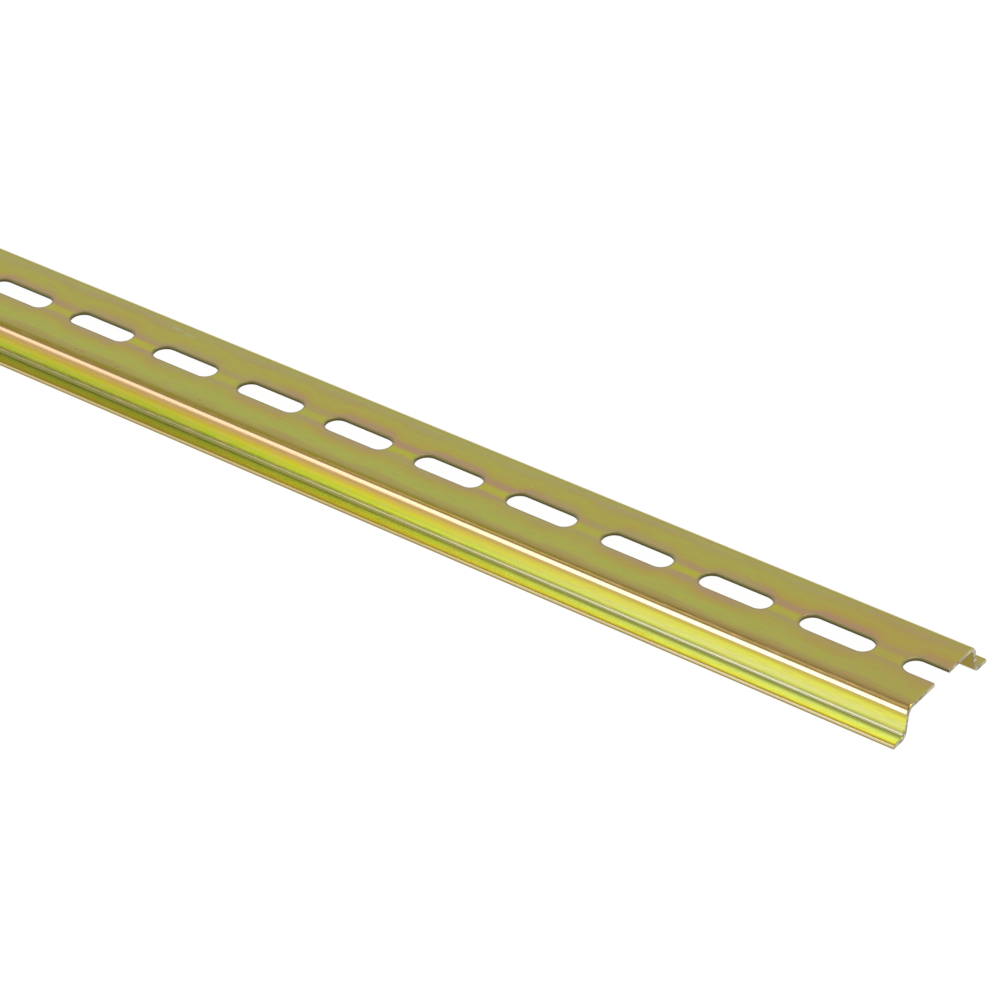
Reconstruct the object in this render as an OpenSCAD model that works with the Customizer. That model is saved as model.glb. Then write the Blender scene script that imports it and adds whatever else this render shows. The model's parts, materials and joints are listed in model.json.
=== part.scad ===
// Slotted top-hat rail for clip-on electrical devices, rolled from one strip of steel.
// The rail lies along X with its web up, and its two flanges rest on Z = 0.

/* [Rail] */
// Length of the rail: an even number of slot pitches leaves half a slot open at each end
rail_l = 1000; // [200:25:2000]
// Width over the two flanges, which the devices clip on
rail_w = 35; // [33:0.5:40]
// Height from the underside of the flanges to the top of the web
rail_h = 7.5; // [6:0.5:15]
// Thickness of the strip
sheet = 1; // [0.8:0.1:1.5]
// Width of the hat over its side walls, at the corner where they meet the flanges
hat_w = 27.8; // [26.5:0.1:28.2]
// Angle in degrees that each side wall leans out from upright
lean = 9.5; // [0:0.5:12]
// Radius inside the folds between the web and the side walls
web_fold_r = 1.4; // [0.4:0.1:2]
// Radius inside the folds between the side walls and the flanges
flange_fold_r = 0.8; // [0.4:0.1:1]

/* [Slots] */
// Length of a slot over its round ends
slot_l = 17.6; // [12:0.1:19]
// Width of a slot
slot_w = 5.6; // [4.2:0.1:7]
// Distance from the middle of one slot to the middle of the next
slot_pitch = 25; // [22:0.5:36]

/* [Hidden] */
$fn = 96;
// How far the shapes that cut run past what they cut
cut_over = 1;
// How far a side wall's ends are tucked into the circles of its folds, so that the two always meet
tuck = 0.0001;
// Tangent of half the angle that each fold turns through
half_turn = tan((90 - lean) / 2);
// Sharp corner that the fold between web and side wall rounds off, and that fold's centre
web_corner_y = hat_w / 2 - (rail_h - sheet) * tan(lean);
web_fold_y = web_corner_y - (web_fold_r + sheet) * half_turn;
web_fold_z = rail_h - sheet - web_fold_r;
// Centre of the fold between side wall and flange
flange_fold_y = hat_w / 2 + flange_fold_r * half_turn;
flange_fold_z = sheet + flange_fold_r;
// How many slots lie on each side of the middle one, with those that an end cuts through
slots_per_side = floor((rail_l / 2 + slot_l / 2) / slot_pitch);

// Point at a distance and an angle from a centre
function around(y, z, r, angle) = [y + r * cos(angle), z + r * sin(angle)];

// The same points on the other side, in the order that closes an outline
function mirrored(points) = [for (i = [len(points) - 1 : -1 : 0]) [-points[i].x, points[i].y]];

// What a round fold takes off a sharp corner: a wedge from one angle to the other, outside a circle
module fold_waste(y, z, r, from, to) {
    reach = 2 * r;
    difference() {
        polygon([
            [y, z],
            around(y, z, reach, from),
            around(y, z, reach, (from + to) / 2),
            around(y, z, reach, to)
        ]);
        translate([y, z]) circle(r = r);
    }
}

// All that lies under one face of the strip, which is up above the lower face,
// out to edge_y on both sides and down to base_z
module under_face(up, edge_y, base_z) {
    web_r = web_fold_r + up;
    flange_r = flange_fold_r + sheet - up;
    half = [
        [web_corner_y - (sheet - up) * half_turn - tuck, rail_h - sheet + up],
        around(flange_fold_y, flange_fold_z, flange_r - tuck, 180 + lean),
        [flange_fold_y, flange_fold_z],
        [flange_fold_y, up],
        [edge_y, up],
        [edge_y, base_z]
    ];
    difference() {
        polygon(concat(half, mirrored(half)));
        for (side = [0, 1]) mirror([side, 0]) {
            fold_waste(web_fold_y, web_fold_z, web_r, lean, 90);
            translate([flange_fold_y, flange_fold_z]) circle(r = flange_r);
        }
    }
}

// Section of the rail: web, leaning side walls and flanges, with a round fold at each corner
module section() {
    difference() {
        under_face(sheet, rail_w / 2, -cut_over);
        under_face(0, rail_w / 2 + cut_over, -2 * cut_over);
    }
}

// Outline of a slot, along X with round ends
module slot_outline() {
    straight = slot_l - slot_w;
    square([straight, slot_w], center = true);
    for (side = [-1, 1]) translate([side * straight / 2, 0]) circle(d = slot_w);
}

// The whole rail, with its row of slots down the middle of the web
module rail() {
    color([0.66, 0.6, 0.32]) difference() {
        rotate([90, 0, 90]) linear_extrude(rail_l, center = true) section();
        for (i = [-slots_per_side : slots_per_side])
            translate([i * slot_pitch, 0, rail_h - sheet - cut_over])
                linear_extrude(sheet + 2 * cut_over) slot_outline();
    }
}

rail();
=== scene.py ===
import json
import math
import bpy
import numpy as np
from mathutils import Matrix, Vector


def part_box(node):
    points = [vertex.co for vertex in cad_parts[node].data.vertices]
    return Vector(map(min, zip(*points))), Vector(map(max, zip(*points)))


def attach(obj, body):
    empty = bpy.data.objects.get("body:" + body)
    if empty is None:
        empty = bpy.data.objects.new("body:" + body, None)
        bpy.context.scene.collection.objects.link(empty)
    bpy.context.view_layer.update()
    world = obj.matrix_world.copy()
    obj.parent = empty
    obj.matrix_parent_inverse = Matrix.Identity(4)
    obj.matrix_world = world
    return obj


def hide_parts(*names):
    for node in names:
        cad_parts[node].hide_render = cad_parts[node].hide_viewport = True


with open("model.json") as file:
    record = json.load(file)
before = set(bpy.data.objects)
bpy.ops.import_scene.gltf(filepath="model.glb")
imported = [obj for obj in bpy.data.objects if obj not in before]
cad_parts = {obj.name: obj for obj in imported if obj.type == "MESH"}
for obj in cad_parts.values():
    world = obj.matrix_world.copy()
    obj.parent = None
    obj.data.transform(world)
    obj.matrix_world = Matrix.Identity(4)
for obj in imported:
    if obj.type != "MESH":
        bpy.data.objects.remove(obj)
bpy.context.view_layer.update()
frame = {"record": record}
railLow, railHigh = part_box("rail")
slotMount = next(mount for mount in frame["record"]["mounts"] if mount["kind"] == "bolt_pattern")
mmPerMetre = 1000
print("frame loaded, rail", railLow, railHigh)

# The camera looks at a point towards the rail's +X end
cameraSetup = {
    "aim": (0.3874, 0.0018, 0.00375),
    "distance": 0.8753,
    "azimuth": 37.91,  # degrees round from straight in front, to the right
    "elevation": 35.29,
    "roll": 1.55,  # degrees that its top leans to the right
    "lens": 146.3,
    "sensor": 36.0,
}


def placeCamera(setup):
    # Stands back from the aim along the direction given by two angles, then rolls about its own axis
    azimuth = math.radians(setup["azimuth"])
    elevation = math.radians(setup["elevation"])
    back = Vector((
        math.sin(azimuth) * math.cos(elevation),
        -math.cos(azimuth) * math.cos(elevation),
        math.sin(elevation),
    ))
    data = bpy.data.cameras.new("camera")
    data.lens = setup["lens"]
    data.sensor_width = setup["sensor"]
    camera = bpy.data.objects.new("camera", data)
    place = Matrix.Translation(Vector(setup["aim"]) + back * setup["distance"])
    turn = (-back).to_track_quat("-Z", "Y").to_matrix().to_4x4()
    roll = Matrix.Rotation(-math.radians(setup["roll"]), 4, "Z")
    camera.matrix_world = place @ turn @ roll
    bpy.context.scene.collection.objects.link(camera)
    bpy.context.scene.camera = camera


placeCamera(cameraSetup)
bpy.context.scene.view_settings.view_transform = "Standard"
print("camera placed")

# Sizes are in metres. A roll is the width and depth of an edge that is rounded over
railShape = {
    "sheet": 0.001,
    "hatWidth": 0.0278,  # over the side walls, where they meet the flanges
    "lean": math.radians(9.5),  # of the side walls, out from upright
    "webFoldRadius": 0.0014,  # inside the fold
    "flangeFoldRadius": 0.0008,
    "slotLength": slotMount["dims"]["slot_length_mm"] / mmPerMetre,
    "slotRadius": slotMount["dims"]["hole_r_mm"] / mmPerMetre,
    "slotPitch": 0.025,
    "slotRing": 0.0007,  # width of the even ring of faces round a slot
    "punchRoll": (0.00030, 0.00008),  # that the punch leaves round a slot
    "burrRoll": (0.00006, 0.00006),  # on every edge of the underside
    "rimRoll": (0.00030, 0.00020),  # along the strip's own edges, on the outer face
    "cutRoll": (0.00040, 0.00016),  # at the sheared ends, on the outer face
}
# How many faces each stretch is divided into
gridSteps = {
    "webFold": 11,
    "wall": 2,
    "flangeFold": 9,
    "flange": 2,
    "edge": 5,  # an edge of the strip that is rolled over
    "straight": 2,  # half of a slot's straight part
    "corner": 3,  # from there along to the middle between two slots
    "side": 9,  # across half of the web at that middle
    "punch": 6,  # the rim round a slot
    "ringShares": (0.0, 0.25, 0.6, 1.0),  # shares of the way from a slot's ring to its cell's border
}


def edgeDrop(distance, roll):
    # Quarter of an ellipse: the face falls by the depth at the edge and by nothing past the width
    width, depth = roll
    inside = np.clip(1 - distance / width, 0, 1)
    return depth * (1 - np.sqrt(1 - inside ** 2))


def edgeSteps(width, count):
    # Distances from an edge that are even steps round its quarter ellipse, from 0 to the width
    return width * (1 - np.cos(np.linspace(0, math.pi / 2, count + 1)))


def slotDistance(x, across, shape):
    # Distance to the nearest slot's edge, less than 0 inside: to the slot's middle line, less its radius
    straight = shape["slotLength"] / 2 - shape["slotRadius"]
    along = np.abs(x - shape["slotPitch"] * np.round(x / shape["slotPitch"]))
    return np.hypot(np.maximum(along - straight, 0), across) - shape["slotRadius"]


def pitchesToEnd(shape):
    # Half the rail's length over the slots' pitch
    return round((railHigh[0] - railLow[0]) / 2 / shape["slotPitch"])


def sectionLine(shape, steps):
    # Middle line of the strip on the +Y side, from the web's fold to the flange's edge. An arc turns it
    # down by a right angle less the lean, a straight wall follows, an arc turns it back, and the flange is
    # level. Returns the distance along the strip from the web's middle, y, z and the normal's y and z.
    half = shape["sheet"] / 2
    turn = math.pi / 2 - shape["lean"]
    webTop = railHigh[2]
    middleRadius = shape["webFoldRadius"] + half
    outerCorner = shape["hatWidth"] / 2 - (webTop - shape["sheet"]) * math.tan(shape["lean"])
    webFoldY = outerCorner - (shape["webFoldRadius"] + shape["sheet"]) * math.tan(turn / 2)
    webFoldZ = webTop - shape["sheet"] - shape["webFoldRadius"]
    flangeFoldY = shape["hatWidth"] / 2 + shape["flangeFoldRadius"] * math.tan(turn / 2)
    flangeFoldZ = shape["sheet"] + shape["flangeFoldRadius"]
    down = np.linspace(0, turn, steps["webFold"] + 1)
    y = webFoldY + middleRadius * np.sin(down)
    z = webFoldZ + middleRadius * np.cos(down)
    up = np.linspace(turn, 0, steps["flangeFold"] + 1)
    flangeRadius = shape["flangeFoldRadius"] + half
    foldY = flangeFoldY - flangeRadius * np.sin(up)
    foldZ = flangeFoldZ - flangeRadius * np.cos(up)
    wall = np.linspace(0, 1, steps["wall"] + 1)[1:-1]
    wallY = y[-1] + (foldY[0] - y[-1]) * wall
    wallZ = z[-1] + (foldZ[0] - z[-1]) * wall
    rim = railHigh[1] - edgeSteps(shape["rimRoll"][0], steps["edge"])[::-1]
    flangeY = np.concatenate([np.linspace(flangeFoldY, rim[0], steps["flange"] + 1)[1:-1], rim])
    y = np.concatenate([y, wallY, foldY, flangeY])
    z = np.concatenate([z, wallZ, foldZ, np.full(flangeY.shape, half)])
    angle = np.concatenate([down, np.full(wallY.shape, turn), up, np.zeros(flangeY.shape)])
    # An arc is longer than its chord by half its angle over that half's sine, and a straight stretch isn't
    chord = np.hypot(np.diff(y), np.diff(z))
    bend = np.abs(np.diff(angle)) / 2
    smallest = 1e-9  # keeps a straight stretch from dividing by 0
    arc = chord * np.where(bend > 0, bend / np.sin(np.maximum(bend, smallest)), 1)
    along = y[0] + np.concatenate([[0], np.cumsum(arc)])
    return along, y, z, np.sin(angle), np.cos(angle)


def halfCellRays(straight, webEdge, shape, steps):
    # Rays from the edge of half a slot to the border of the web round it, from the slot's middle at +Y
    # round its end to its middle at -Y. The straight part's rays are level with Y and the round end's
    # fan out, to even steps along the border. Returns the edge points, their outward directions and
    # the border points.
    radius = shape["slotRadius"]
    reach = shape["slotLength"] / 2 - radius
    border = shape["slotPitch"] / 2
    count = steps["corner"] + steps["side"]
    angle = np.linspace(math.pi / 2, 0, count + 1)[1:]
    edge = np.concatenate([
        np.stack([straight, np.full(straight.shape, radius)], 1),
        np.stack([reach + radius * np.cos(angle), radius * np.sin(angle)], 1),
    ])
    outward = np.concatenate([
        np.tile([0.0, 1.0], (len(straight), 1)),
        np.stack([np.cos(angle), np.sin(angle)], 1),
    ])
    corner = np.linspace(reach, border, steps["corner"] + 1)[1:]
    side = np.linspace(webEdge, 0, steps["side"] + 1)[1:]
    rim = np.concatenate([
        np.stack([straight, np.full(straight.shape, webEdge)], 1),
        np.stack([corner, np.full(corner.shape, webEdge)], 1),
        np.stack([np.full(side.shape, border), side], 1),
    ])
    flip = np.array([1.0, -1.0])
    return [np.concatenate([part, part[-2::-1] * flip]) for part in (edge, outward, rim)]


def stripFaces(rows, columns, start):
    # Four-cornered faces between neighbours on a grid of points numbered row by row
    index = start + np.arange(rows * columns).reshape(rows, columns)
    return np.stack([index[:-1, :-1], index[1:, :-1], index[1:, 1:], index[:-1, 1:]], -1).reshape(-1, 4)


def bridgeFaces(upper, lower):
    # Four-cornered faces between two lines of points
    return np.stack([upper[:-1], upper[1:], lower[1:], lower[:-1]], -1)


def sheetPart(middle, normal, upLift, downLift, along, across, walls):
    # Both faces of a stretch of the strip: its middle surface moved out along the normal by a lift that
    # gets less near the edges, with a wall between the two on each named border of the grid. The faces are
    # turned over where a grid's rows and columns give a cross product against the normal.
    rows, columns = middle.shape[:2]
    count = rows * columns
    upper = middle + normal * upLift[..., None]
    lower = middle - normal * downLift[..., None]
    index = np.arange(count).reshape(rows, columns)
    borders = {
        "first row": index[0],
        "last row": index[-1][::-1],
        "first column": index[:, 0][::-1],
        "last column": index[:, -1],
    }
    faces = [stripFaces(rows, columns, 0), stripFaces(rows, columns, count)[:, ::-1]]
    faces += [bridgeFaces(borders[name], borders[name] + count) for name in walls]
    faces = np.concatenate(faces)
    nextRow = upper[1, 0] - upper[0, 0]
    nextColumn = upper[0, 1] - upper[0, 0]
    if np.dot(np.cross(nextRow, nextColumn), normal[0, 0]) < 0:
        faces = faces[:, ::-1]
    points = np.concatenate([upper.reshape(-1, 3), lower.reshape(-1, 3)])
    face = np.repeat([1.0, -1.0], count)
    place = np.stack([np.tile(along.ravel(), 2), np.tile(across.ravel(), 2), face], 1)
    return points, faces, place


def alongStations(shape, steps):
    # Places along the rail that every part of the grid shares, for half a slot pitch from a slot's middle:
    # even steps over the slot's straight part, the same with a sheared end's roll, and even steps past it
    reach = shape["slotLength"] / 2 - shape["slotRadius"]
    straight = np.linspace(0, reach, steps["straight"] + 1)
    corner = np.linspace(reach, shape["slotPitch"] / 2, steps["corner"] + 1)[1:]
    cutEnd = np.concatenate([edgeSteps(shape["cutRoll"][0], steps["edge"]), straight[1:]])
    return straight, cutEnd, corner


def webParts(shape, steps, webEdge):
    # The web is made of half cells, each a slot's half with the web round it out to half a pitch. Rings of
    # points follow the slot's edge, and further rings go over to the border in set shares of the way.
    half = shape["sheet"] / 2
    straight, cutEnd = alongStations(shape, steps)[:2]
    roll = edgeSteps(shape["punchRoll"][0], steps["punch"])
    share = np.array(steps["ringShares"])
    pastRoll = np.full(share.shape, shape["slotPitch"])  # a distance too far off for any edge's roll
    ends = pitchesToEnd(shape)
    level = railHigh[2] - half
    parts = []
    for number in range(-ends, ends + 1):
        for side in (-1, 1):
            if number == side * ends:
                continue
            atCut = number == -side * ends
            edge, outward, rim = halfCellRays(cutEnd if atCut else straight, webEdge, shape, steps)
            ring = edge + outward * shape["slotRing"]
            near = edge[:, None] + outward[:, None] * roll[None, :, None]
            far = ring[:, None] + (rim - ring)[:, None] * share[None, :, None]
            plane = np.concatenate([near, far], 1)
            distance = np.broadcast_to(np.concatenate([roll, pastRoll]), plane.shape[:2])
            upLift = half - edgeDrop(distance, shape["punchRoll"])
            downLift = half - edgeDrop(distance, shape["burrRoll"])
            if atCut:
                upLift = upLift - edgeDrop(plane[..., 0], shape["cutRoll"])
                downLift = downLift - edgeDrop(plane[..., 0], shape["burrRoll"])
            along = number * shape["slotPitch"] + side * plane[..., 0]
            across = plane[..., 1]
            middle = np.stack([along, across, np.full(along.shape, level)], -1)
            normal = np.broadcast_to(np.array([0.0, 0.0, 1.0]), middle.shape)
            walls = ["first column"] + (["first row", "last row"] if atCut else [])
            parts.append(sheetPart(middle, normal, upLift, downLift, along, across, walls))
    return parts


def sideParts(shape, steps, section):
    # Each side of the hat is the section's line carried straight along X
    half = shape["sheet"] / 2
    straight, cutEnd, corner = alongStations(shape, steps)
    pitch = shape["slotPitch"]
    ends = pitchesToEnd(shape)
    centres = pitch * np.arange(-ends, ends)
    cell = np.concatenate([straight, corner, pitch - straight[::-1], pitch - corner])
    every = (centres[:, None] + cell[None, :]).ravel()
    decimals = 9  # places that differ by less than this are one place
    x = np.unique(np.round(np.concatenate([every, railLow[0] + cutEnd, railHigh[0] - cutEnd]), decimals))
    fromCut = np.minimum(x - railLow[0], railHigh[0] - x)
    along, y, z, normalY, normalZ = section
    rimDrop = edgeDrop(along[-1] - along, shape["rimRoll"])
    burrDrop = edgeDrop(along[-1] - along, shape["burrRoll"])
    upLift = half - edgeDrop(fromCut, shape["cutRoll"])[:, None] - rimDrop[None, :]
    downLift = half - edgeDrop(fromCut, shape["burrRoll"])[:, None] - burrDrop[None, :]
    parts = []
    for side in (-1, 1):
        grid = (len(x), len(y))
        middle = np.stack([
            np.broadcast_to(x[:, None], grid),
            np.broadcast_to(side * y, grid),
            np.broadcast_to(z, grid),
        ], -1)
        normal = np.broadcast_to(np.stack([0 * y, side * normalY, normalZ], -1), middle.shape)
        across = np.broadcast_to(side * along, grid)
        walls = ["first row", "last row", "last column"]
        parts.append(sheetPart(middle, normal, upLift, downLift, middle[..., 0], across, walls))
    return parts


def weld(parts):
    # Puts the parts into one mesh. Points that fall in the same step of a fine grid become one point, and
    # the quarter step moves the grid's borders away from round sizes.
    stepsPerMetre = 1e7
    starts = np.cumsum([0] + [len(part[0]) for part in parts])
    points = np.concatenate([part[0] for part in parts])
    faces = np.concatenate([part[1] + start for part, start in zip(parts, starts)])
    place = np.concatenate([part[2] for part in parts])
    keys = np.floor(points * stepsPerMetre + 0.25).astype(np.int64)
    first, same = np.unique(keys, axis=0, return_index=True, return_inverse=True)[1:]
    return points[first], same.ravel()[faces], place[first]


def areaNormals(points, faces):
    # Each point's normal is the sum of its faces' cross products, so large flat faces outweigh thin rims
    first, second, third, fourth = (points[faces[:, corner]] for corner in range(4))
    cross = np.cross(third - first, fourth - second)
    total = np.zeros(points.shape)
    for corner in range(4):
        np.add.at(total, faces[:, corner], cross)
    return total / np.linalg.norm(total, axis=1, keepdims=True)


def addAttribute(mesh, name, columns):
    # Three numbers at each point, from three whole columns
    attribute = mesh.attributes.new(name, "FLOAT_VECTOR", "POINT")
    attribute.data.foreach_set("vector", np.stack(columns, 1).astype(float).ravel())


def makeRail(shape, steps):
    # The web's cells and both sides in one mesh. Its points keep their place on the unrolled strip in mm,
    # with 1 for the outer face and -1 for the underside, and a mask that is 1 on a slot's edge and on a
    # sheared end, to within a thousandth of a millimetre.
    section = sectionLine(shape, steps)
    webEdge = section[1][0]
    points, faces, place = weld(webParts(shape, steps, webEdge) + sideParts(shape, steps, section))
    mesh = bpy.data.meshes.new("rolledRail")
    mesh.from_pydata(points, [], faces)
    mesh.polygons.foreach_set("use_smooth", np.ones(len(faces), bool))
    mesh.update()
    mesh.normals_split_custom_set_from_vertices(areaNormals(points, faces))
    x, across, face = place.T
    touch = 1e-6
    atCut = np.minimum(x - railLow[0], railHigh[0] - x) < touch
    atSlot = slotDistance(x, across, shape) < touch
    addAttribute(mesh, "stripPlace", [x * mmPerMetre, across * mmPerMetre, face])
    addAttribute(mesh, "edgeMask", [atSlot, atCut, np.zeros(len(x))])
    rail = bpy.data.objects.new("rolledRail", mesh)
    bpy.context.scene.collection.objects.link(rail)
    print("rail made:", len(points), "points,", len(faces), "faces")
    return rail


rail = makeRail(railShape, gridSteps)
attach(rail, "root")
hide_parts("rail")

# Colours are screen values from 0 to 255, and distances and places are in mm
zincFinish = {
    # Colour by distance from the web's middle, in mm, near side negative, as bands of the film run
    "webBands": [
        (-11.4, (212, 184, 104)),
        (-10.4, (220, 198, 118)),
        (-9.4, (222, 224, 108)),
        (-7.6, (222, 226, 105)),
        (-6.2, (228, 213, 102)),
        (-5.0, (228, 200, 112)),
        (-3.9, (223, 192, 146)),
        (-3.1, (226, 190, 140)),
        (-2.1, (236, 226, 86)),
        (0.0, (232, 230, 84)),
        (1.5, (234, 216, 96)),
        (2.9, (230, 180, 140)),
        (3.9, (226, 178, 150)),
        (4.6, (228, 190, 128)),
        (5.6, (230, 208, 97)),
        (7.4, (227, 216, 100)),
        (9.0, (224, 203, 114)),
        (9.8, (222, 200, 146)),
        (10.3, (220, 208, 124)),
        (11.4, (228, 224, 132)),
    ],
    # Colour by distance round the sides, in mm from the web's middle, near the +X end. Besides the film it
    # holds painted light: a dark band on the web's fold (11.55 to 12.1), partly the film's own line and
    # partly painted shade over a lamp's reflection; a paler film on that fold that also paints its highlight
    # (12.5 to 12.95); painted shade where the wall meets the flange (17.2 and 18.2), with a painted
    # highlight on the flange's fold between them (17.7)
    "endFilmAndPaintedLight": [
        (10.8, (207, 180, 120)),
        (11.3, (206, 178, 102)),
        (11.55, (178, 150, 86)),
        (11.8, (150, 125, 68)),
        (12.1, (148, 124, 68)),
        (12.3, (186, 166, 112)),
        (12.5, (240, 226, 190)),
        (12.95, (246, 232, 200)),
        (13.2, (201, 184, 107)),
        (13.5, (215, 202, 73)),
        (14.2, (237, 239, 85)),
        (15.2, (238, 242, 110)),
        (16.2, (234, 242, 147)),
        (17.2, (156, 163, 104)),
        (17.7, (194, 196, 168)),
        (18.2, (165, 166, 133)),
        (18.6, (156, 166, 83)),
        (19.15, (200, 213, 146)),
        (19.6, (212, 227, 168)),
        (21.2, (226, 231, 168)),
        (21.6, (192, 183, 77)),
        (21.95, (178, 158, 78)),
        (22.06, (228, 214, 170)),
    ],
    # The same along the rest of the rail, with the painted highlight on the web's fold dimmer and peach
    # (12.5 to 12.9) and the painted shade where the wall meets the flange darker (17.2)
    "farFilmAndPaintedLight": [
        (10.8, (214, 207, 116)),
        (11.9, (183, 165, 59)),
        (12.2, (190, 160, 93)),
        (12.5, (236, 204, 164)),
        (12.9, (226, 190, 148)),
        (13.3, (199, 165, 104)),
        (14.2, (219, 191, 68)),
        (15.2, (222, 219, 37)),
        (16.2, (196, 217, 55)),
        (17.2, (116, 128, 59)),
        (17.7, (144, 147, 97)),
        (18.2, (171, 170, 109)),
        (18.6, (191, 195, 95)),
        (19.15, (240, 240, 164)),
        (19.6, (240, 242, 168)),
        (21.0, (240, 242, 168)),
        (21.6, (238, 235, 69)),
        (21.95, (176, 156, 70)),
        (22.06, (208, 192, 136)),
    ],
    # painted light: the end bands are lighter near the +X end, where the lamps' reflections are stronger
    "endPaintedLightBlend": (350.0, 470.0),  # x over which the far bands give way to the end bands
    "farSide": (217, 206, 106),
    "farSideShare": 0.85,
    "wallShade": (60, 60, 30),  # over the side walls, away from the +X end
    "wallShadeShare": 0.22,
    "wallShadeBlend": (365.0, 295.0),  # x over which the shade sets in
    # painted shade over the whole underside: darker and more golden than the outer face
    "underside": (160, 137, 60),
    "undersideShadeShare": 0.85,
    "slotRim": (174, 161, 122),
    "slotRimShare": 0.8,
    "slotRimBlend": (0.5, 0.15),  # distance from a slot's edge over which the rim's colour sets in
    "slotWallTop": (150, 144, 90),
    # dark foot of a slot's wall: where the sheet broke, and painted shade for the shadowed floor it reflects
    "slotWallFootBreakAndShade": (104, 96, 54),
    "slotWallBlend": (0.35, 0.65),  # shares of the sheet's thickness over which a slot's wall turns dark
    "cutSteel": (212, 204, 180),
    "cutSteelDark": (150, 141, 118),
    # Distances from the web's middle over which a stretch of the strip starts or ends
    "sideStart": (10.6, 11.2),
    "webEnd": (11.4, 10.4),
    "wallStart": (13.2, 14.5),
    "wallEnd": (19.0, 17.8),
    "farSideStart": (10.3, 10.9),
    # Film lines on the web are drawn towards its middle in the bridges between slots
    "bridgeBlend": (0.25, -0.85),  # cosine of the place in a pitch over which a bridge sets in
    "pull": 2.25,  # most that a line is moved
    "pullWidth": 4.0,  # half width of the web that is pulled in full
    "pullFade": -0.25,  # exponent for each mm past that
    "pullSlack": (2.0, 0.4),  # width about the middle where the pull is weak, near side and far side
    "wander": 1.8,  # how far streaks move a line from side to side
    "sideWander": 0.15,  # share of that on the sides
    # Noise over the strip: share of the distance along X that it sees, scale, detail, roughness
    "streak": (0.03, 1.1, 4, 0.6),
    "fine": (0.05, 4.0, 3, 0.6),
    "cloud": (0.25, 0.11, 3, 0.5),
    "hair": (0.04, 9.0, 2, 0.6),
    # Tints over the film: what each follows, from and to, its largest share, whether only on the web, colour
    "tints": [
        ("cloud", 0.42, 0.6, 0.45, True, (218, 222, 106)),  # green clouds
        ("x", 450.0, 500.0, 0.35, True, (226, 196, 108)),  # golden towards the +X end
        ("x", 470.0, 380.0, 0.12, True, (222, 240, 108)),  # greener away from it
        ("fine", 0.45, 0.7, 0.45, False, (224, 180, 138)),  # mauve streaks
        ("hair", 0.5, 0.75, 0.2, False, (236, 218, 132)),  # pale hairlines
        ("hair", 0.45, 0.25, 0.2, False, (196, 170, 92)),  # dark hairlines
    ],
    "roughness": 0.17,
    "roughnessSpread": 0.1,
    "edgeRoughness": 0.25,  # added on rims and cut faces
    "grainStretch": (0.12, 3.0),  # of the fine relief, along and across
    "grain": (3.0, 3, 0.7),
    "grainStrength": 0.2,
    "grainDepth": 0.00002,  # in metres
    "shearStretch": 300.0,  # of the cut faces' noise, for each metre of height
    "shear": (0.7, 2, 0.5),
    "shearBlend": (0.35, 0.65),  # noise over which dark cut steel turns light
    # Rubbed places and specks on the web: x and y in mm, half length, half width, colour
    "marks": [
        (393.5, 5.5, 0.5, 0.14, (246, 232, 160)),
        (397.5, 6.1, 0.8, 0.15, (228, 204, 134)),
        (399.5, 9.2, 0.7, 0.12, (230, 210, 138)),
        (290.0, 9.1, 1.8, 0.45, (222, 224, 164)),
        (294.0, 8.6, 2.2, 0.4, (220, 222, 164)),
        (276.5, -10.5, 0.8, 0.15, (160, 134, 84)),
        (278.5, -10.5, 0.7, 0.12, (166, 140, 84)),
        (289.0, -10.7, 1.0, 0.12, (166, 138, 90)),
        (313.0, -10.2, 0.6, 0.12, (170, 142, 92)),
    ],
    "markCore": (0.4, 0.3),  # shares of a mark's half length and half width that have its full colour
    "markBreak": (0.3, 0.5),  # fine noise over which a mark sets in
}


def toLinear(colour):
    # Screen values from 0 to 255 to linear light, by the standard curve: a straight foot and a power
    share = np.array(colour) / 255
    light = np.where(share <= 0.04045, share / 12.92, ((share + 0.055) / 1.055) ** 2.4)
    return (*light.tolist(), 1.0)


def link(tree, value, socket):
    # A socket is joined, and anything else becomes the socket's own value
    if isinstance(value, bpy.types.NodeSocket):
        tree.links.new(value, socket)
    else:
        socket.default_value = value


def calc(tree, operation, *values):
    # One step of arithmetic on numbers or sockets, under the math node's own name for it
    node = tree.nodes.new("ShaderNodeMath")
    node.operation = operation
    for value, socket in zip(values, node.inputs):
        link(tree, value, socket)
    return node.outputs[0]


def product(tree, first, second):
    # The first times the second
    return calc(tree, "MULTIPLY", first, second)


def mapRange(tree, value, fromLow, fromHigh, toLow=0.0, toHigh=1.0, smooth=True):
    # Goes from one level to another while the value goes from fromLow to fromHigh, with soft ends if smooth
    node = tree.nodes.new("ShaderNodeMapRange")
    node.interpolation_type = "SMOOTHSTEP" if smooth else "LINEAR"
    for number, socket in zip((value, fromLow, fromHigh, toLow, toHigh), node.inputs):
        link(tree, number, socket)
    return node.outputs[0]


def vectorOf(tree, x, y, z):
    # Three numbers or sockets as one vector
    node = tree.nodes.new("ShaderNodeCombineXYZ")
    for value, socket in zip((x, y, z), node.inputs):
        link(tree, value, socket)
    return node.outputs[0]


def partsOf(tree, vector):
    # A vector's three numbers
    node = tree.nodes.new("ShaderNodeSeparateXYZ")
    tree.links.new(vector, node.inputs[0])
    return tuple(node.outputs)


def attributeParts(tree, name):
    # The three numbers that a mesh attribute holds at a point
    node = tree.nodes.new("ShaderNodeAttribute")
    node.attribute_name = name
    return partsOf(tree, node.outputs["Vector"])


def noise(tree, place, scale, detail, roughness):
    # Noise about 0.5 at a place that is already stretched
    node = tree.nodes.new("ShaderNodeTexNoise")
    link(tree, place, node.inputs["Vector"])
    node.inputs["Scale"].default_value = scale
    node.inputs["Detail"].default_value = detail
    node.inputs["Roughness"].default_value = roughness
    return node.outputs["Fac"]


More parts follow.
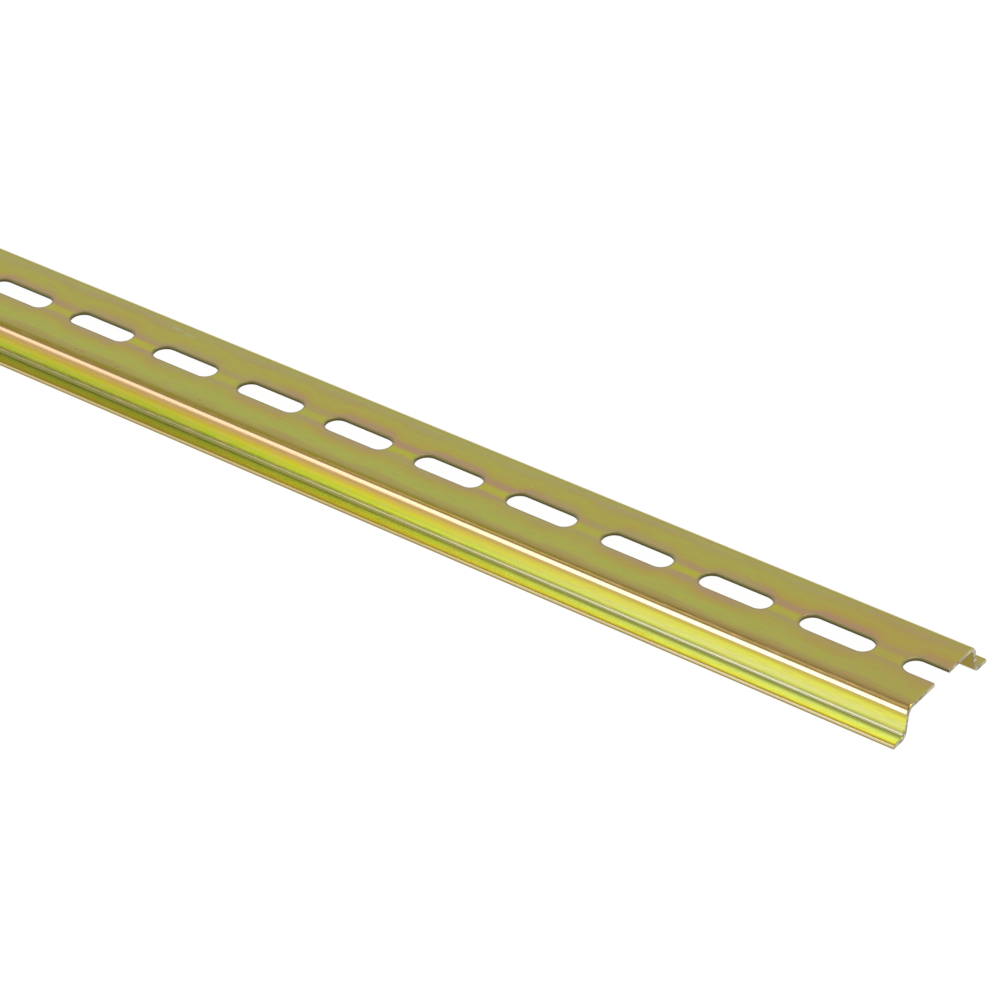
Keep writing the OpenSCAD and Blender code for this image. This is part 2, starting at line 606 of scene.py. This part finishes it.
def stripNoise(tree, strip, setup):
    # Noise drawn out along the strip: it sees only a share of the distance along X
    x, across, face = strip
    stretch, scale, detail, roughness = setup
    return noise(tree, vectorOf(tree, product(tree, x, stretch), across, face), scale, detail, roughness)


def mixColour(tree, share, first, second):
    # The first colour at a share of 0 and the second at 1
    node = tree.nodes.new("ShaderNodeMix")
    node.data_type = "RGBA"
    link(tree, share, node.inputs["Factor"])
    link(tree, first, node.inputs[6])  # the colour sockets come after those for numbers and vectors
    link(tree, second, node.inputs[7])
    return node.outputs[2]


def bandColour(tree, distance, bands):
    # A colour ramp over a distance in mm
    low, high = bands[0][0], bands[-1][0]
    node = tree.nodes.new("ShaderNodeValToRGB")
    node.color_ramp.interpolation = "EASE"
    elements = node.color_ramp.elements
    while len(elements) < len(bands):
        elements.new(0.5)
    for element, (place, colour) in zip(elements, bands):
        element.position = (place - low) / (high - low)
        element.color = toLinear(colour)
    link(tree, mapRange(tree, distance, low, high, smooth=False), node.inputs[0])
    return node.outputs[0]


def webLine(tree, finish, pitch, strip, size, wander):
    # Distance across that a film line on the web belongs to: the true one, plus the pull in a bridge,
    # plus the streaks' wander. The pull is the bridge's share, times an exponential fade past the pulled
    # width, times the distance across over its own size plus some slack.
    x, across = strip[:2]
    wave = calc(tree, "COSINE", product(tree, x, 2 * math.pi / pitch))
    bridge = mapRange(tree, wave, *finish["bridgeBlend"])
    past = calc(tree, "MAXIMUM", calc(tree, "SUBTRACT", size, finish["pullWidth"]), 0.0)
    fade = calc(tree, "EXPONENT", product(tree, past, finish["pullFade"]))
    slack = mapRange(tree, across, -1.0, 1.0, *finish["pullSlack"])  # changes within 1 mm of the middle
    pull = calc(tree, "DIVIDE", across, calc(tree, "ADD", size, slack))
    shift = product(tree, product(tree, bridge, fade), product(tree, pull, finish["pull"]))
    return calc(tree, "ADD", calc(tree, "ADD", across, shift), wander)


def sideColour(tree, finish, x, size, wander):
    # Film and painted light on the walls and flanges: the far bands turn into the lighter end bands along X
    # as painted light, and the walls get painted shade away from the +X end
    around = calc(tree, "ADD", size, product(tree, wander, finish["sideWander"]))
    farFilmAndPaintedLight = bandColour(tree, around, finish["farFilmAndPaintedLight"])
    endFilmAndPaintedLight = bandColour(tree, around, finish["endFilmAndPaintedLight"])
    # painted light: lighter end bands towards the +X end
    side = mixColour(tree, mapRange(tree, x, *finish["endPaintedLightBlend"]), farFilmAndPaintedLight, endFilmAndPaintedLight)
    wallStart = mapRange(tree, size, *finish["wallStart"])
    wallEnd = mapRange(tree, size, *finish["wallEnd"])
    shade = mapRange(tree, x, *finish["wallShadeBlend"], 0.0, finish["wallShadeShare"])
    onWall = product(tree, wallStart, wallEnd)
    return mixColour(tree, product(tree, onWall, shade), side, toLinear(finish["wallShade"]))


def filmColour(tree, finish, pitch, strip, fine):
    # Film bands of the web and the sides, with the far side's plain colour and then each tint over them
    x, across = strip[:2]
    size = calc(tree, "ABSOLUTE", across)
    streak = stripNoise(tree, strip, finish["streak"])
    wander = product(tree, calc(tree, "SUBTRACT", streak, 0.5), finish["wander"])
    web = bandColour(tree, webLine(tree, finish, pitch, strip, size, wander), finish["webBands"])
    side = sideColour(tree, finish, x, size, wander)
    film = mixColour(tree, mapRange(tree, size, *finish["sideStart"]), web, side)
    farSide = mapRange(tree, across, *finish["farSideStart"], 0.0, finish["farSideShare"])
    film = mixColour(tree, farSide, film, toLinear(finish["farSide"]))
    onWeb = mapRange(tree, size, *finish["webEnd"])
    follow = {
        "x": x,
        "fine": fine,
        "cloud": stripNoise(tree, strip, finish["cloud"]),
        "hair": stripNoise(tree, strip, finish["hair"]),
    }
    for name, low, high, most, webOnly, colour in finish["tints"]:
        share = mapRange(tree, follow[name], low, high, 0.0, most)
        if webOnly:
            share = product(tree, onWeb, share)
        film = mixColour(tree, share, film, toLinear(colour))
    return film


def addMarks(tree, finish, film, strip, fine):
    # A mark's share falls from its core to its edge along and across, and fine noise breaks it up
    x, across = strip[:2]
    coreLength, coreWidth = finish["markCore"]
    for markX, markY, halfLength, halfWidth, colour in finish["marks"]:
        ahead = calc(tree, "ABSOLUTE", calc(tree, "SUBTRACT", x, markX))
        beside = calc(tree, "ABSOLUTE", calc(tree, "SUBTRACT", across, markY))
        inside = product(
            tree,
            mapRange(tree, ahead, halfLength, halfLength * coreLength),
            mapRange(tree, beside, halfWidth, halfWidth * coreWidth),
        )
        broken = mapRange(tree, fine, *finish["markBreak"])
        film = mixColour(tree, product(tree, inside, broken), film, toLinear(colour))
    return film


def distanceToSlot(tree, shape, pitch, strip):
    # Distance to the slot's middle line less its radius
    x, across = strip[:2]
    reach = (shape["slotLength"] / 2 - shape["slotRadius"]) * mmPerMetre
    along = calc(tree, "MAXIMUM", calc(tree, "SUBTRACT", calc(tree, "PINGPONG", x, pitch / 2), reach), 0.0)
    squares = calc(tree, "ADD", product(tree, along, along), product(tree, across, across))
    return calc(tree, "SUBTRACT", calc(tree, "SQRT", squares), shape["slotRadius"] * mmPerMetre)


def edgeColours(tree, finish, shape, film, strip, atEdge, atSlot, atCut):
    # Over the film: the slots' rims, painted shade on the underside, the punched walls, dark below where the
    # sheet broke and with painted shade there, and the sheared ends' bare steel, light and dark by noise
    x, across, face = strip
    film = mixColour(tree, product(tree, atEdge, finish["slotRimShare"]), film, toLinear(finish["slotRim"]))
    under = mapRange(tree, face, 0.2, -0.2)  # face goes from 1 outside to -1 on the underside
    # painted shade on the underside
    film = mixColour(
        tree, product(tree, under, finish["undersideShadeShare"]), film, toLinear(finish["underside"])
    )
    height = partsOf(tree, tree.nodes.new("ShaderNodeTexCoord").outputs["Object"])[2]
    wallTop, wallFoot = [railHigh[2] - share * shape["sheet"] for share in finish["slotWallBlend"]]
    # a slot's wall darkens towards its foot, where the sheet broke and as painted shade
    depth = mapRange(tree, height, wallTop, wallFoot)
    punched = mixColour(tree, depth, toLinear(finish["slotWallTop"]), toLinear(finish["slotWallFootBreakAndShade"]))
    film = mixColour(tree, atSlot, film, punched)
    cutFace = vectorOf(tree, x, across, product(tree, height, finish["shearStretch"]))
    shear = mapRange(tree, noise(tree, cutFace, *finish["shear"]), *finish["shearBlend"])
    steel = mixColour(tree, shear, toLinear(finish["cutSteelDark"]), toLinear(finish["cutSteel"]))
    return mixColour(tree, atCut, film, steel)


def makeZinc(finish, shape):
    # A metal whose colour is the film's, rougher at its rims and cuts, under a fine relief
    material = bpy.data.materials.new("yellowZinc")
    material.use_nodes = True
    tree = material.node_tree
    shader = tree.nodes["Principled BSDF"]
    shader.inputs["Metallic"].default_value = 1.0
    strip = attributeParts(tree, "stripPlace")
    atSlot, atCut = attributeParts(tree, "edgeMask")[:2]
    pitch = shape["slotPitch"] * mmPerMetre
    fine = stripNoise(tree, strip, finish["fine"])
    film = filmColour(tree, finish, pitch, strip, fine)
    film = addMarks(tree, finish, film, strip, fine)
    atEdge = mapRange(tree, distanceToSlot(tree, shape, pitch, strip), *finish["slotRimBlend"])
    film = edgeColours(tree, finish, shape, film, strip, atEdge, atSlot, atCut)
    tree.links.new(film, shader.inputs["Base Color"])

    spread = finish["roughnessSpread"]
    smooth = calc(tree, "ADD", finish["roughness"] - spread / 2, product(tree, fine, spread))
    edges = calc(tree, "MAXIMUM", calc(tree, "MAXIMUM", atCut, atSlot), atEdge)
    dull = product(tree, edges, finish["edgeRoughness"])
    tree.links.new(calc(tree, "ADD", smooth, dull), shader.inputs["Roughness"])

    x, across, face = strip
    grainAlong, grainAcross = finish["grainStretch"]
    grainPlace = vectorOf(tree, product(tree, x, grainAlong), product(tree, across, grainAcross), face)
    bump = tree.nodes.new("ShaderNodeBump")
    bump.inputs["Strength"].default_value = finish["grainStrength"]
    bump.inputs["Distance"].default_value = finish["grainDepth"]
    tree.links.new(noise(tree, grainPlace, *finish["grain"]), bump.inputs["Height"])
    tree.links.new(bump.outputs[0], shader.inputs["Normal"])
    return material


rail.data.materials.append(makeZinc(zincFinish, railShape))
print("yellow zinc made")

# Floor, lamps and world
studio = {
    "floorSize": 16.0,
    "floorColour": (225, 225, 225),
    "floorGlow": 1.05,  # brightness of its plain white
    "floorShownWhite": 0.94,  # how much of it is plain white where the camera or a reflection sees it
    "glossyShare": 0.66,  # how much of that white a reflection sees
    "worldGrey": 0.52,
    "lamps": [
        # name, place, aim, degrees of roll, width, height, brightness where 1 is white
        ("rightSoftbox", (0.0, -1.0, 0.46), (0.0, 0.0, 0.46), 10.0, 0.66, 0.80, 1.25),
        ("leftSoftbox", (-0.86, -1.05, 0.42), (-0.86, 0.0, 0.42), 8.0, 1.05, 0.76, 0.85),
        ("upperSoftbox", (-0.42, -1.0, 2.15), (0.4, 0.0, 0.0), 0.0, 1.0, 0.85, 0.95),
        ("topPanel", (0.9, 0.3, 1.6), (0.4, 0.0, 0.0), 0.0, 1.2, 1.2, 2.2),
    ],
}


def paleFloor(setup):
    # Plain paint, mixed with an even glow where the camera sees it and with part of that in reflections
    material = bpy.data.materials.new("paleFloor")
    material.use_nodes = True
    tree = material.node_tree
    tree.nodes.clear()
    diffuse = tree.nodes.new("ShaderNodeBsdfDiffuse")
    diffuse.inputs["Color"].default_value = toLinear(setup["floorColour"])
    path = tree.nodes.new("ShaderNodeLightPath")
    bounced = calc(tree, "MAXIMUM", path.outputs["Is Glossy Ray"], path.outputs["Is Transmission Ray"])
    reflected = product(tree, bounced, setup["glossyShare"])
    seen = calc(tree, "MAXIMUM", path.outputs["Is Camera Ray"], reflected)
    glow = tree.nodes.new("ShaderNodeEmission")
    glow.inputs["Strength"].default_value = setup["floorGlow"]
    both = tree.nodes.new("ShaderNodeMixShader")
    tree.links.new(product(tree, seen, setup["floorShownWhite"]), both.inputs[0])
    tree.links.new(diffuse.outputs[0], both.inputs[1])
    tree.links.new(glow.outputs[0], both.inputs[2])
    output = tree.nodes.new("ShaderNodeOutputMaterial")
    tree.links.new(both.outputs[0], output.inputs["Surface"])
    return material


def makeFloor(setup):
    # One square face at z = 0, half its size out from the middle each way
    half = setup["floorSize"] / 2
    mesh = bpy.data.meshes.new("floor")
    corners = np.array([[-half, -half, 0], [half, -half, 0], [half, half, 0], [-half, half, 0]])
    mesh.from_pydata(corners, [], [[0, 1, 2, 3]])
    mesh.materials.append(paleFloor(setup))
    floor = bpy.data.objects.new("floor", mesh)
    bpy.context.scene.collection.objects.link(floor)
    return floor


def makeLamp(name, place, aim, roll, width, height, brightness):
    # A flat panel that gives pi times its area times its brightness
    data = bpy.data.lights.new(name, "AREA")
    data.shape = "RECTANGLE"
    data.size = width
    data.size_y = height
    data.energy = math.pi * width * height * brightness
    lamp = bpy.data.objects.new(name, data)
    towards = Vector(aim) - Vector(place)
    turn = towards.to_track_quat("-Z", "Y").to_matrix().to_4x4()
    lamp.matrix_world = Matrix.Translation(place) @ turn @ Matrix.Rotation(math.radians(roll), 4, "Z")
    bpy.context.scene.collection.objects.link(lamp)


def makeWorld(grey):
    # White light from all round, at one strength
    world = bpy.data.worlds.new("studio")
    world.use_nodes = True
    background = world.node_tree.nodes["Background"]
    background.inputs["Color"].default_value = (1.0, 1.0, 1.0, 1.0)
    background.inputs["Strength"].default_value = grey
    bpy.context.scene.world = world


makeFloor(studio)
for lamp in studio["lamps"]:
    makeLamp(*lamp)
makeWorld(studio["worldGrey"])
print("studio made")
